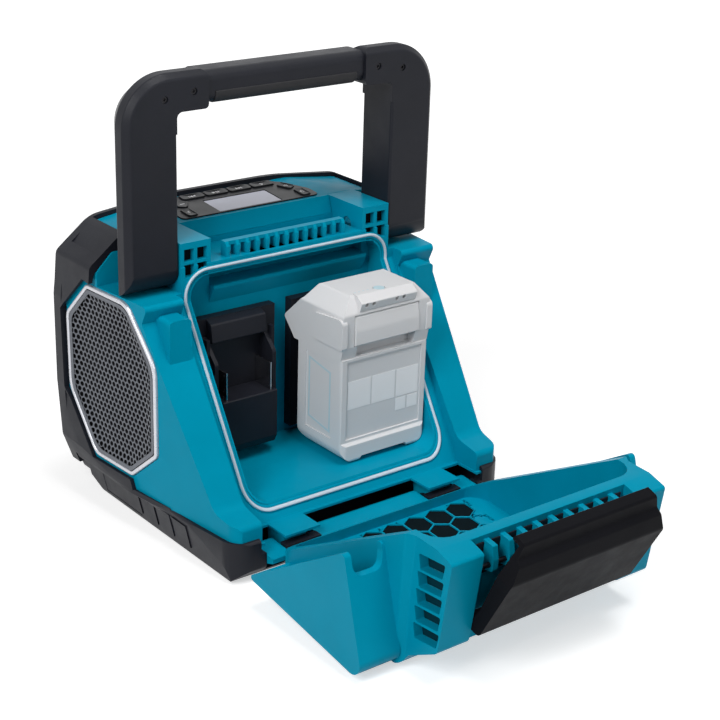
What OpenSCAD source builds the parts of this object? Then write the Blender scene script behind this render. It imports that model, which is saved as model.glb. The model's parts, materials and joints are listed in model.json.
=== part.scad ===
// Job-site speaker with a folding handle and a hinged battery door, drawn with the door open.
// +X is the right side, +Y the front with the grille and controls, +Z up.
// The origin is the middle of the base, on the surface that the speaker stands on.

/* [Housing] */
// Half width of the housing at the origin's depth
side_half = 120; // [112:0.5:128]
// Growth of the half width for each millimetre toward the front
flare = 0.1; // [0.06:0.01:0.14]
// Underside of the housing, inside the base
housing_z = 24; // [20:0.5:28]
// Top face of the housing, under the control panel
deck_z = 184; // [180:0.5:190]
// Front edge of the housing
housing_front = 88; // [80:1:96]
// Rear edge of the lip under the battery door
lip_rear = 92; // [88:0.5:93]
// Top of that lip
lip_z = 25.6; // [25:0.1:26.5]
// Wall thickness of the housing
wall = 3; // [2:0.25:4]
// Height of the shoulders under the handle legs
shoulder_z = 162.5; // [158:0.5:163]

/* [Battery bay] */
// Half width of the bay
bay_half = 79.5; // [78.8:0.1:80]
// Floor of the bay
bay_floor = 36; // [35:0.5:40]
// Ceiling of the bay
bay_top = 172; // [168:0.5:175]
// Back wall of the bay
bay_back = 24; // [20:0.5:30]
// Corner radius of the bay
bay_r = 14; // [10:0.5:18]
// Depth position of the upright part of the sealing face
seal_y = 10; // [8:0.5:12]
// Height at which the sealing face starts to slope
seal_knee = 156; // [150:1:160]
// Depth position of the sealing face at the lip
seal_foot = -69.6; // [-71:0.2:-66]
// Width of the seal
seal_w = 4.5; // [3:0.25:6]
// Height of the seal above its face
seal_proud = 1.6; // [1:0.1:2.4]
// Inner edge of the raised side strips
strip_in = 91; // [90.5:0.25:93]

/* [Handle] */
// Inner face of each handle leg
leg_in = 86.8; // [86.6:0.1:90]
// Outer face of each handle leg
leg_out = 125; // [118:0.5:130]
// Rear face of the handle
leg_rear = 12; // [11:0.5:14]
// Depth of the handle legs
leg_d = 33; // [28:0.5:36]
// Top of the handle
handle_top = 307; // [296:0.5:320]
// Distance from the top of the handle down to the joints of its legs
joint_drop = 39; // [34:0.5:46]
// Depth of the crossbar
bar_d = 25; // [20:0.5:30]
// Height of the handle pivots
pivot_z = 180.5; // [178:0.5:184]
// Radius of the handle pivot pins
pivot_r = 5; // [4:0.25:6]

/* [Battery door] */
// Depth position of the hinge axis
hinge_y = -79; // [-81:0.25:-77]
// Height of the hinge axis
hinge_z = 12; // [11:0.25:13]
// Angle between the closed door and the open one
door_open = 93; // [85:1:95]
// Radius of the hinge pin
hinge_r = 3; // [2:0.25:4]
// Underside of the closed door
door_under = 31.8; // [31.6:0.1:33]
// Wall thickness of the door
door_wall = 3; // [2.5:0.25:4]
// Gap between the closed door and the sealing face
door_gap = 2.4; // [2.1:0.1:3.5]
// How far the side cheeks stand in from the half width of the housing
cheek_tuck = 1.5; // [-1:0.5:3]

/* [Battery pack] */
// Width of a pack
pack_w = 75; // [70:0.5:76]
// Middle of each pack slot
slot_x = 41; // [40:0.25:41.5]
// Label face of the pack
pack_face = -46; // [-50:0.5:-40]
// Underside of the pack
pack_z = 36.6; // [36.4:0.2:40]
// Height of the pack
pack_h = 119.4; // [110:0.2:120]

/* [Base and bumper] */
// How far the base draws in at the ground, from the half width of the housing
base_tuck = 8; // [4:0.5:12]
// Rear face of the base
base_rear = 93.5; // [93:0.25:96]
// Top of the base band
base_top = 29; // [27:0.5:32]
// Thickness of the floor of the base
base_floor = 4; // [3:0.5:6]
// Front face of the bumper
bumper_front = 98; // [94:0.5:106]
// How far the bumper stands out beyond the sides of the housing
bumper_proud = 3; // [2:0.25:6]
// Top of the bumper
bumper_top = 203; // [198:0.5:208]

/* [Controls] */
// Top face of the control panel at its rear edge
panel_z = 196; // [193:0.5:198]
// Rise of the control panel toward the front, in degrees
panel_tilt = 5; // [2:0.5:6]
// Width of a key
key_w = 18; // [14:0.5:20]
// Depth of a key
key_d = 7.5; // [6:0.25:8.5]
// Travel of a key
key_travel = 0.8; // [0.5:0.1:0.9]
// Half width of the display window
lens_half = 26; // [24:0.5:27]

/* [Fits] */
// Radial clearance of a running fit
run_fit = 0.06; // [0.03:0.01:0.1]
// Gap between fixed pieces that are fitted side by side
seat_gap = 0.2; // [0.1:0.05:0.3]
// Gap between pieces that move past each other
slide_gap = 0.4; // [0.3:0.05:0.6]

/* [Grilles] */
// Distance between the holes of a grille
hole_pitch = 9; // [7:0.5:12]
// Bar left between two holes
hole_bar = 1.8; // [1.2:0.2:3]
// Thickness of the grille sheet
sheet = 1.4; // [1:0.1:2]

/* [Hidden] */
$fn = 48;
arc_steps = 6;
far = 500;
flare_deg = atan(flare);
seal_tan = (seal_y - seal_foot) / (seal_knee - lip_z);
seal_slope = atan(seal_tan);
face_half = side_half + flare * 100;
base_half = side_half - base_tuck;
cheek_out = side_half - cheek_tuck;
bumper_half = face_half + bumper_proud;
leg_joint = handle_top - joint_drop;
bar_under = handle_top - bar_d;
pocket_x = [-56, 73];
pocket_d = 10;
ledge_z = 159.5;
leg_front = leg_rear + leg_d;
pivot_y = leg_rear + leg_d / 2;
boss_out = leg_in - 0.6;
boss_in = 63;
boss_front = 52;
shelf_z = 180;
deck_step_y = 45;
gasket_half = bay_half + seal_w + 1.5;
gasket_bottom = bay_floor - seal_w - 1.5;
gasket_top = bay_top + seal_w + 1.5;
post_x = [93.3, 109.8];
post_z = [124, 154];
post_face = -12.6;
strip_knee = [post_face - 0.9, post_z[0]];
strip_slope = 0.68;
toe_z = 39;
toe_rear = -90;
toe_front = strip_knee[0] - strip_slope * (strip_knee[1] - toe_z - 4);
lug_x = [53, 71];
arm_x = [74.5, 89.5];
mid_arm = 46;
tray_half = gasket_half + 4;
tray_in = bay_half + 2;
tray_top = gasket_top + 3;
block_w = leg_in - 0.8;
latch_half = 62;
rod_y = -9;
rod_z = 187;
rod_r = 1.6;
lever_y = -43;
lever_z = 190;
lever_pin_r = 2;
lever_lift = 18;
finger_count = 9;
finger_pitch = 12.5;
comb_half = 48;
comb_ribs = 12;
comb_pitch = 2 * comb_half / comb_ribs;
lip_y = 20.8;
driver_y = 37.5;
driver_z = 100;
block_face = -4;
block_half = 25;
block_top = 138;
head_z = pack_z + 76.4;
pack_lift = 18;
arm_front = -73.2;
trim_w = 3.2;
elbow_r = 34;

teal = [0.0, 0.52, 0.60];
black = [0.16, 0.17, 0.20];
rubber = [0.10, 0.10, 0.11];
silver = [0.78, 0.79, 0.82];
steel = [0.66, 0.67, 0.70];
pale = [0.72, 0.72, 0.73];
board_green = [0.08, 0.30, 0.20];

// Half width of the housing at a depth y
function half_at(y) = side_half + flare * y;

// Depth of the sealing face at a height z
function seal_at(z) = seal_y - max(seal_knee - z, 0) * seal_tan;

function unit(v) = v / norm(v);
function flat2(p) = [p[0], p[1]];

// Moves every edge of a counter-clockwise outline inward by e
function inset(p, e) = let (n = len(p)) [for (i = [0:n - 1])
    let (a = flat2(p[(i + n - 1) % n]), b = flat2(p[i]), c = flat2(p[(i + 1) % n]),
         d = unit(b - a), f = unit(c - b), m = [-d[1], d[0]], k = [-f[1], f[0]],
         q = b + e * (m + k) / (1 + m * k))
    [q[0], q[1], p[i][2]]];

// Rounds the corners of an outline whose points carry a radius as third value
function rounded(p) = let (n = len(p)) [for (i = [0:n - 1])
    each corner(flat2(p[(i + n - 1) % n]), flat2(p[i]), flat2(p[(i + 1) % n]), p[i][2])];

function corner(a, b, c, r) = (r == undef || r <= 0) ? [b] :
    let (u = unit(a - b), v = unit(c - b), half = acos(u * v) / 2, m = b + unit(u + v) * r / sin(half),
         s = b + u * r / tan(half), t = b + v * r / tan(half),
         a0 = atan2(s[1] - m[1], s[0] - m[0]), a1 = atan2(t[1] - m[1], t[0] - m[0]),
         turn = a1 - a0 > 180 ? a1 - a0 - 360 : a1 - a0 < -180 ? a1 - a0 + 360 : a1 - a0)
    [for (i = [0:arc_steps]) m + r * [cos(a0 + turn * i / arc_steps), sin(a0 + turn * i / arc_steps)]];

// Rectangle from corner lo to corner hi with radius r, as an outline
function frame_rect(lo, hi, r) = [[lo[0], lo[1], r], [hi[0], lo[1], r], [hi[0], hi[1], r], [lo[0], hi[1], r]];

// Extrusions along each axis; the outline is (y, z), (x, z) or (x, y)
module along_x(x0, x1) { translate([x0, 0, 0]) rotate([90, 0, 90]) linear_extrude(x1 - x0) children(); }
module along_y(y0, y1) { translate([0, y1, 0]) rotate([90, 0, 0]) linear_extrude(y1 - y0) children(); }
module along_z(z0, z1) { translate([0, 0, z0]) linear_extrude(z1 - z0) children(); }
module shape(p) { polygon(rounded(p)); }
module box(lo, hi) { translate(lo) cube(hi - lo); }
module both_sides() { children(); mirror([1, 0, 0]) children(); }
module rod_x(x0, x1, y, z, r) { translate([x0, y, z]) rotate([0, 90, 0]) cylinder(r = r, h = x1 - x0); }

// Turns what is drawn closed about the door's hinge to where the open door has it
module opened() {
    translate([0, hinge_y, hinge_z]) rotate([door_open, 0, 0]) translate([0, -hinge_y, -hinge_z]) children();
}

// Turns what is drawn flat on the closed door about an X axis through (y, z) by a lift angle
module lifted(y, z, lift) { translate([0, y, z]) rotate([lift, 0, 0]) translate([0, -y, -z]) children(); }

// Local frame of a side wall: x = 0 is the wall's outer face, with the inside at +x
module on_side(s) {
    mirror([s > 0 ? 1 : 0, 0, 0]) translate([-side_half, 0, 0]) rotate([0, 0, flare_deg]) children();
}

// Outlines of the housing from the side, from above and from the front
housing_side = [[-lip_rear, housing_z], [housing_front, housing_z], [housing_front, deck_z],
    [deck_step_y, deck_z], [deck_step_y, shelf_z], [seal_y, shelf_z], [seal_y, seal_knee, 4],
    [seal_at(lip_z), lip_z], [-lip_rear, lip_z]];
housing_plan = [[-half_at(-lip_rear), -lip_rear, 12], [half_at(-lip_rear), -lip_rear, 12],
    [half_at(housing_front), housing_front], [-half_at(housing_front), housing_front]];
housing_face = [[-face_half + 9, housing_z], [face_half - 9, housing_z], [face_half - 2.5, 42, 8],
    [face_half, 84, 20], [face_half, 146, 12], [face_half - 3, 170, 6], [face_half - 17, deck_z, 4],
    [-face_half + 17, deck_z, 4], [-face_half + 3, 170, 6], [-face_half, 146, 12], [-face_half, 84, 20],
    [-face_half + 2.5, 42, 8]];
strip_side = [[toe_rear, housing_z], [seal_y, housing_z], [seal_y, shoulder_z], [-2, shoulder_z, 3],
    [strip_knee[0] + strip_slope * 26, strip_knee[1] + 26], [toe_front, toe_z + 4, 12],
    [toe_rear, toe_z, 4]];

// Octagonal outline of a side grille on its wall, as depth along the wall and height
ring_outline = [[16, 38.5, 6], [58, 40, 12], [86.5, 82, 24], [87.4, 136, 10], [63, 161.8, 5],
    [18, 160.8, 16], [-11.5, 124, 24], [-11.5, 61.5, 6]];

// Outline of the front grille
front_outline = inset(housing_face, 5);

module housing_form(e) {
    intersection() {
        along_x(-far, far) shape(inset(housing_side, e));
        along_z(-far, far) shape(inset(housing_plan, e));
        along_y(-far, far) shape(inset(housing_face, e));
    }
}

module housing_blank() {
    difference() {
        housing_form(0);
        both_sides() box([boss_out, -far, shoulder_z], [far, boss_front, far]);
    }
    // Raised strips beside the bay, with a flared toe at the bottom
    intersection() {
        both_sides() along_x(strip_in, far) shape(strip_side);
        along_z(-far, far) shape(housing_plan);
    }
    both_sides() {
        along_y(post_face, seal_y) shape(frame_rect([post_x[0], post_z[0]], [post_x[1], post_z[1]], 3));
        box([boss_in, seal_y + 1, shelf_z - 20], [boss_out, boss_front, panel_z]);
    }
}

// Inside of the housing, open to the front
hollow_side = [[seal_at(housing_z + wall) + wall / cos(seal_slope), housing_z + wall],
    [housing_front + 1, housing_z + wall], [housing_front + 1, deck_z - wall],
    [deck_step_y + wall, deck_z - wall], [deck_step_y + wall, shelf_z - wall],
    [seal_y + wall, shelf_z - wall], [seal_y + wall, seal_knee]];
hollow_rear = -70;
hollow_plan = [[-half_at(hollow_rear) + wall, hollow_rear], [half_at(hollow_rear) - wall, hollow_rear],
    [half_at(housing_front + 1) - wall, housing_front + 1],
    [-half_at(housing_front + 1) + wall, housing_front + 1]];

module housing_hollow() {
    difference() {
        intersection() {
            along_x(-far, far) shape(hollow_side);
            along_z(-far, far) shape(hollow_plan);
            along_y(-far, far) shape(inset(housing_face, wall));
        }
        both_sides() box([boss_out - wall, -far, shoulder_z - wall], [far, boss_front + wall, far]);
        // The bay's own walls stay
        along_y(-far, bay_back + wall)
            shape(frame_rect([-bay_half - wall, bay_floor - wall],
                                       [bay_half + wall, bay_top + wall], bay_r));
        // Walls of the pocket above the bay's ledge
        box([pocket_x[0] - wall, -far, ledge_z - wall],
            [pocket_x[1] + wall, bay_back + pocket_d + wall, bay_top + wall]);
        // Ledge that the baffle is screwed to
        along_y(housing_front - 10.5, housing_front - 8) difference() {
            shape(inset(housing_face, wall - 1));
            shape(inset(housing_face, wall + 5));
        }
        // Solid blocks behind the handle bosses
        both_sides() box([boss_in - wall, seal_y, shoulder_z - 12], [boss_out, boss_front, far]);
    }
    // Opening in the deck for the display
    box([-lens_half + 2, 60, deck_z - wall - 1], [lens_half - 2, 72, deck_z + 1]);
}

module door_comb() {
    for (i = [0:comb_ribs])
        along_x(-comb_half + i * comb_pitch - 1.3, -comb_half + i * comb_pitch + 1.3)
            shape([[13, shelf_z - 1], [20, shelf_z - 1], [20, 190], [14.5, 190, 2], [13, 187, 1]]);
    box([-comb_half - 1.3, 15, 187.4], [comb_half + 1.3, 20, 190]);
}

// Folded ledge over the terminal blocks
module bay_ledge() {
    along_x(pocket_x[0], pocket_x[1]) shape([[bay_back + 1, ledge_z], [bay_back - 6, ledge_z, 1],
        [bay_back - 6, ledge_z - 2.5, 1], [bay_back, ledge_z - 13.5, 6], [bay_back + 1, ledge_z - 18]]);
}

module rear_housing() {
    color(teal) {
        housing_shell();
        bay_ledge();
    }
}

// Slot in the lip for a hinge arm of the door
module arm_slot(x0, x1) {
    box([x0 - slide_gap, -far, -far], [x1 + slide_gap, arm_front + 2 * slide_gap, lip_z + 1]);
    rod_x(x0 - slide_gap, x1 + slide_gap, hinge_y, hinge_z, 6.2 + slide_gap);
}

module housing_shell() {
    difference() {
        union() {
            difference() {
                housing_blank();
                housing_hollow();
            }
            door_comb();
            // Hinge lugs under the lip
            both_sides() along_x(lug_x[0], lug_x[1])
                shape([[hinge_y - 6.5, base_floor, 4], [hinge_y + 9, base_floor, 4],
                    [hinge_y + 13, housing_z + 1], [hinge_y - 6.5, housing_z + 1]]);
            // Posts for the main board
            for (x = [-60, 60], y = [46, 72]) translate([x, y, housing_z + 1]) cylinder(r = 4, h = 8);
        }
        // Bay, open through the sealing face
        along_y(-far, bay_back)
            shape(frame_rect([-bay_half, bay_floor], [bay_half, bay_top], bay_r));
        // Pocket above the bay's ledge
        box([pocket_x[0], seal_y - 1, ledge_z], [pocket_x[1], bay_back + pocket_d, bay_top - 1]);
        // Groove for the seal
        gasket_form(seal_gap_add = seat_gap, depth = 1.5);
        // Slots for the door's hinge arms
        both_sides() arm_slot(arm_x[0], arm_x[1]);
        arm_slot(-mid_arm, mid_arm);
        rod_x(-far, far, hinge_y, hinge_z, hinge_r);
        // Handle pivots
        both_sides() rod_x(boss_in - 1, far, pivot_y, pivot_z, pivot_r + run_fit);
        // Square pockets in the rear faces of the bosses
        both_sides() for (i = [0, 1], j = [0, 1])
            translate([boss_in + 3 + i * 10, seal_y, panel_z - 13 - j * 10.5]) cube([7.5, 12, 8.5]);
        // Openings behind the side grilles
        for (s = [-1, 1]) on_side(s) along_x(-20, wall + 1) shape(inset(ring_outline, 13));
        for (s = [-1, 1]) on_side(s) along_x(-20, 1.5) shape(inset(ring_outline, -seat_gap));
    }
}

// Ring along the sealing face; depth is how far it reaches into the face
module gasket_form(seal_gap_add, depth) {
    intersection() {
        along_y(-far, far) difference() {
            shape(frame_rect([-gasket_half - seal_gap_add, gasket_bottom - seal_gap_add],
                                       [gasket_half + seal_gap_add, gasket_top + seal_gap_add], bay_r + 5 + seal_gap_add));
            shape(frame_rect([-gasket_half + seal_w + seal_gap_add, gasket_bottom + seal_w + seal_gap_add],
                             [gasket_half - seal_w - seal_gap_add, gasket_top - seal_w - seal_gap_add],
                             bay_r + 1 - seal_gap_add));
        }
        along_x(-far, far) polygon([[seal_y + depth, far], [seal_y - seal_proud, far],
            [seal_y - seal_proud, seal_knee], [seal_at(0) - seal_proud, 0], [seal_at(0) + depth, 0],
            [seal_y + depth, seal_knee]]);
    }
}

module compartment_gasket() { color(silver) gasket_form(seal_gap_add = 0, depth = 1.5); }

contact_z = 84;
flange_top = 126;

// One terminal block, with its middle at x = 0
module terminal_block() {
    plate_y = bay_back - 7;
    box([-34, plate_y, bay_floor + 6], [34, bay_back, block_top]);
    // Lower body with the ledge that the contacts stand on
    along_x(-block_half + 3, block_half - 3) shape([[plate_y + 1, bay_floor + 8], [block_face + 3, bay_floor + 8, 2],
        [block_face, bay_floor + 14, 2], [block_face, contact_z, 1], [plate_y + 1, contact_z]]);
    // Side rails with an outer flange
    both_sides() {
        along_x(block_half - 3, block_half) shape([[plate_y + 1, bay_floor + 8], [block_face + 6, bay_floor + 8, 2],
            [block_face + 6, contact_z + 26, 4], [plate_y + 1, contact_z + 42]]);
        box([block_half - 0.1, block_face + 12, contact_z], [block_half + 2.5, block_face + 16, flange_top]);
    }
    // Hood over the contacts
    along_x(-block_half + 2.9, block_half - 2.9) shape([[plate_y + 1, contact_z + 38], [block_face + 13, contact_z + 38, 1],
        [block_face + 15, block_top - 3, 2], [plate_y + 1, block_top]]);
}

module terminal_block_left() { color(black) translate([-slot_x, 0, 0]) terminal_block(); }
module terminal_block_right() { color(black) translate([slot_x, 0, 0]) terminal_block(); }

module terminal_blades() {
    color(steel) for (x = [-slot_x, slot_x], s = [-1, 1])
        translate([x + s * 18, 0, 0]) box([-0.5, block_face + 2, contact_z], [0.5, bay_back - 7, contact_z + 20]);
}

// Profile of the pack's side walls above the case, which reach behind the terminal block
pack_top = pack_z + pack_h;
head_side = [[pack_face + 1, head_z], [8, head_z], [20.5, head_z + 13.5, 2], [-1, pack_top - 10, 4], [-7, pack_top, 3],
    [pack_face + 6, pack_top, 3], [pack_face - 1, pack_top - 11, 4], [pack_face - 1, head_z + 9]];

// Channel in the back of the pack that the terminal block stands in
module pack_channel(z0, z1) {
    box([-block_half - 0.8, block_face - 2, z0], [block_half + 0.8, far, z1]);
}

// Lower case of the pack, with a foot and a recessed label field
module battery_case() {
    half = pack_w / 2;
    color(pale) translate([slot_x, 0, 0]) difference() {
        intersection() {
            along_x(-half, half) shape([[-8, pack_z, 2], [3, pack_z + 9, 4], [3, head_z], [pack_face, head_z],
                [pack_face, pack_z + 15, 1], [pack_face - 2, pack_z + 13, 1], [pack_face - 2, pack_z, 3]]);
            along_y(-far, far) shape([[-half, pack_z, bay_r - 0.8], [half, pack_z, bay_r - 0.8],
                [half, head_z], [-half, head_z]]);
            along_z(-far, far) shape([[-half, pack_face - 2, 5], [half, pack_face - 2, 5], [half, far], [-half, far]]);
        }
        pack_channel(-far, far);
        // Cut-out of the foot and the label field
        along_y(-far, pack_face + 5) shape([[-half + 15, pack_z - 1], [half - 15, pack_z - 1],
            [half - 18, pack_z + 3.5, 1], [-half + 18, pack_z + 3.5, 1]]);
        box([-half + 5, pack_face - 3, pack_z + 17], [half - 5, pack_face + 1, head_z - 2]);
        box([-half - 1, -36, pack_z + 16], [-half + 0.8, -6, head_z - 4]);
    }
}

module battery_cover() {
    half = pack_w / 2;
    color(pale) translate([slot_x, 0, 0]) difference() {
        union() {
            intersection() {
                along_x(-half, half) shape(head_side);
                along_y(-far, far) shape([[-half, head_z], [half, head_z], [half, pack_top - 12, 3],
                    [half - 10, pack_top, 3], [-half + 10, pack_top, 3], [-half, pack_top - 12, 3]]);
            }
            // Side wings, and the bar along the front edge
            both_sides() along_x(half - 3, half + 1.6) shape([[pack_face - 2, head_z + 8, 2], [-15, head_z + 8, 2],
                [-15, pack_top - 16, 4], [pack_face - 2, pack_top - 13, 4]]);
            along_x(-24, 24) shape([[pack_face - 1, pack_top - 10, 1], [pack_face + 8, pack_top - 10],
                [pack_face + 8, pack_top + 0.6], [pack_face + 3, pack_top + 0.6, 2], [pack_face - 3, pack_top - 4, 1]]);
        }
        difference() {
            pack_channel(head_z - 1, far);
            box([-far, -far, pack_top - 16], [far, block_face, far]);
            both_sides() box([block_half + 0.4, block_face + 16.4, head_z], [far, far, head_z + 11]);
        }
        // Nothing of the head reaches into the block's back plate
        box([-34.4, bay_back - 7.6, head_z - 1], [34.4, far, far]);
        both_sides() box([block_half + 0.4, block_face + 11.6, head_z - 1],
            [block_half + 3, block_face + 16.4, far]);
        both_sides() box([block_half + 0.4, block_face + 11.6, head_z + 11], [block_half + 3, far, far]);
        // Seat of the release plate and the finger recess under it
        box([-28, pack_face - 5, head_z + 9], [28, pack_face + 8, pack_top - 12]);
        box([-25, pack_face - 5, head_z + 0.8], [25, pack_face + 6, head_z + 10]);
        translate([-1, -38, pack_top - 2]) cylinder(r = 4 + slide_gap, h = 5);
        for (x = [-19, -13, 7, 13]) translate([x, 0, pack_top - 5.6]) along_y(-far, pack_face + 0.5) circle(r = 1.5, $fn = 24);
    }
}

// Wide release plate with a rounded face and a grip edge
module battery_release_button() {
    low = head_z + 9 + slide_gap;
    high = pack_top - 12 - slide_gap;
    color(pale) translate([slot_x, 0, 0]) along_x(-28 + slide_gap, 28 - slide_gap)
        shape([[pack_face + 5.6, low], [pack_face + 5.6, high], [pack_face - 0.5, high, 2],
            [pack_face - 2.2, (low + high) / 2, 30], [pack_face - 2.4, low, 1]]);
}

module battery_gauge_button() {
    color(pale) translate([slot_x - 1, -38, pack_top - 1.1]) cylinder(r = 4, h = 1.6);
}

module main_board() {
    color(board_green) {
        box([-66, 42, housing_z + 9], [66, 76, housing_z + 10.6]);
        for (i = [0:3]) box([-50 + i * 26, 48, housing_z + 10.6], [-38 + i * 26, 62, housing_z + 15]);
    }
}

module front_baffle() {
    color(black) difference() {
        intersection() {
            along_y(housing_front - 8, housing_front - 4)
                shape(inset(housing_face, wall + seat_gap));
            along_z(-far, far) shape(inset(housing_plan, wall + seat_gap));
        }
        translate([0, 0, driver_z]) along_y(0, far) circle(r = 47);
        for (x = [-86, 86]) translate([x, 0, driver_z]) along_y(0, far) circle(r = 17);
        for (x = [-60, 60], z = [46, 154]) translate([x, 0, z]) along_y(0, far) circle(r = 2.2);
    }
}

module baffle_screws() {
    color(steel) for (x = [-60, 60], z = [46, 154]) translate([x, 0, z]) {
        along_y(housing_front - 4, housing_front - 2) circle(r = 4);
        along_y(housing_front - 9, housing_front - 3.9) circle(r = 2.2 - run_fit);
    }
}

// Revolved about the speaker's axis: the outline is (radius, depth behind the mounting face)
module revolve_y(y, z) { translate([0, y, z]) rotate([90, 0, 0]) rotate_extrude() children(); }

baffle_back = housing_front - 8;

module woofer_basket() {
    color(black) revolve_y(baffle_back, driver_z)
        polygon([[44, 0], [55, 0], [55, 3], [47, 3], [30, 26], [16, 26], [16, 23], [28.6, 23], [44, 2]]);
}

module woofer_magnet() {
    color(steel) translate([0, 0, driver_z]) {
        along_y(baffle_back - 44, baffle_back - 26) circle(r = 34);
    }
}

module woofer_cone() {
    color(rubber) revolve_y(baffle_back, driver_z)
        polygon([[0, 10], [10, 12.5], [12, 16], [38, 0], [38, 2], [13, 20], [0, 20]]);
}

module woofer_surround() {
    color(rubber) revolve_y(baffle_back, driver_z)
        difference() {
            translate([41, 0]) circle(r = 3);
            translate([41, 0]) circle(r = 1.8);
            translate([30, 0]) square([20, 10]);
        }
}

// Hexagonal holes on staggered rows over an outline, kept clear of its edge
module hex_sheet(outline, lo, hi, pitch) {
    rows = floor((hi[1] - lo[1]) / (pitch * 0.866));
    cols = floor((hi[0] - lo[0]) / pitch);
    difference() {
        shape(outline);
        intersection() {
            shape(inset(outline, hole_bar + 1));
            for (j = [0:rows], i = [0:cols])
                translate([lo[0] + (i + (j % 2) / 2) * pitch, lo[1] + j * pitch * 0.866])
                    rotate(30) circle(r = (pitch - hole_bar) / sqrt(3), $fn = 6);
        }
    }
}

module side_grille(s) {
    on_side(s) along_x(1.5 - sheet, 1.5) hex_sheet(inset(ring_outline, trim_w + seat_gap), [-12, 38], [90, 164], hole_pitch);
}

module side_trim(s) {
    on_side(s) along_x(-2.2, 1.5) difference() {
        shape(ring_outline);
        shape(inset(ring_outline, trim_w));
    }
}

module side_driver(s) {
    on_side(s) {
        along_x(wall, wall + 2.5) difference() {
            shape(inset(ring_outline, 11.5));
            translate([driver_y, driver_z]) circle(r = 35);
        }
        translate([wall, driver_y, driver_z]) rotate([0, 90, 0]) {
            rotate_extrude() polygon([[35, 2.4], [39, 2.4], [25, 17], [25, 20], [22, 20], [22, 16], [35, 4]]);
            translate([0, 0, 20]) cylinder(r = 25, h = 11);
        }
    }
}

module side_cone(s) {
    on_side(s) translate([wall, driver_y, driver_z]) rotate([0, 90, 0])
        rotate_extrude() polygon([[0, 8], [9, 10], [11, 12], [30, 1.2], [32, 0.4], [34.9, 1.2], [34.9, 2.2], [32, 2.6], [11, 15], [0, 15]]);
}

module side_grille_left() { color(steel) side_grille(-1); }
module side_grille_right() { color(steel) side_grille(1); }
module side_trim_left() { color(silver) side_trim(-1); }
module side_trim_right() { color(silver) side_trim(1); }
module side_driver_left() { color(black) side_driver(-1); }
module side_driver_right() { color(black) side_driver(1); }
module side_cone_left() { color(rubber) side_cone(-1); }
module side_cone_right() { color(rubber) side_cone(1); }

module front_grille() {
    color(black) along_y(housing_front + 1, housing_front + 1 + sheet)
        hex_sheet(inset(front_outline, 4 + seat_gap), [-128, 24], [128, 184], 1.6 * hole_pitch);
}

module front_grille_trim() {
    color(silver) {
        along_y(housing_front - 4, bumper_front - 3) difference() {
            shape(front_outline);
            shape(inset(front_outline, 4));
        }
        along_y(housing_front - 1, housing_front + 1) difference() {
            shape(inset(front_outline, 3));
            shape(inset(front_outline, 7));
        }
    }
}

// Rear edge of the side guards, along the lower front of the side grilles, as depth and height
guard_edge = [[13.5, base_top], [16.5, 36.2], [58.5, 37.7], [housing_front, 80.6]];

// Skins on the side walls, from the base up to that edge
module side_guards() {
    intersection() {
        difference() {
            housing_form(-bumper_proud);
            housing_form(-0.3);
            along_y(0, far) shape(inset(front_outline, -seat_gap));
        }
        both_sides() along_x(90, far) polygon([each guard_edge, [housing_front + 2, 82],
            [housing_front + 2, base_top], [13.5, base_top]]);
    }
}

module front_bumper() {
    outer = [[-bumper_half + 19, 10, 6], [bumper_half - 19, 10, 6], [bumper_half, 80, 30], [bumper_half, 142, 12],
        [bumper_half - 3, 176, 6], [bumper_half - 29, bumper_top - 6.5, 24], [45, bumper_top, 250],
        [-45, bumper_top, 250], [-bumper_half + 29, bumper_top - 6.5, 24], [-bumper_half + 3, 176, 6],
        [-bumper_half, 142, 12], [-bumper_half, 80, 30]];
    color(black) difference() {
        union() {
            along_y(53, bumper_front) difference() {
                shape(outer);
                shape(inset(housing_face, -0.3));
            }
            along_y(housing_front, bumper_front) difference() {
                shape(inset(housing_face, -bumper_proud));
                shape(inset(front_outline, -seat_gap));
            }
            side_guards();
        }
        // Room for the panel, the base and the side grilles
        box([-panel_half - 0.5, 0, 150], [panel_half + 0.5, housing_front, far]);
        box([-panel_half - 0.5, 0, deck_z - seat_gap], [panel_half + 0.5, panel_front + seat_gap, far]);
        box([-far, 0, -far], [far, housing_front, base_top + seat_gap]);
        both_sides() along_x(100, far)
            polygon([[0, 0], [guard_edge[0][0], 0], each guard_edge, [housing_front + 1.5, 138], [62, 166], [0, 160]]);
        // Pockets in the corner guards
        both_sides() translate([bumper_half - 6, 76, bumper_top - 6]) rotate([0, 44, 0]) cube([12, 30, 30], center = true);
    }
}

module base_form(e) {
    side = [[-84, 0, 8], [73, 0, 6], [housing_front, 9], [housing_front, base_top], [-base_rear, base_top, 3],
        [-base_rear, 9, 4]];
    plan = [[-half_at(-base_rear) - 3, -base_rear, 16], [half_at(-base_rear) + 3, -base_rear, 16],
        [half_at(housing_front) + 3, housing_front], [-half_at(housing_front) - 3, housing_front]];
    face = [[-base_half, 0, 3], [base_half, 0, 3], [base_half + 7, base_top, 2], [-base_half - 7, base_top, 2]];
    intersection() {
        along_x(-far, far) shape(inset(side, e));
        along_z(-far, far) shape(inset(plan, e));
        along_y(-far, far) shape(inset(face, e));
    }
}

foot_places = [for (x = [-88, 88], y = [-66, 56]) [x, y]];

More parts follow.
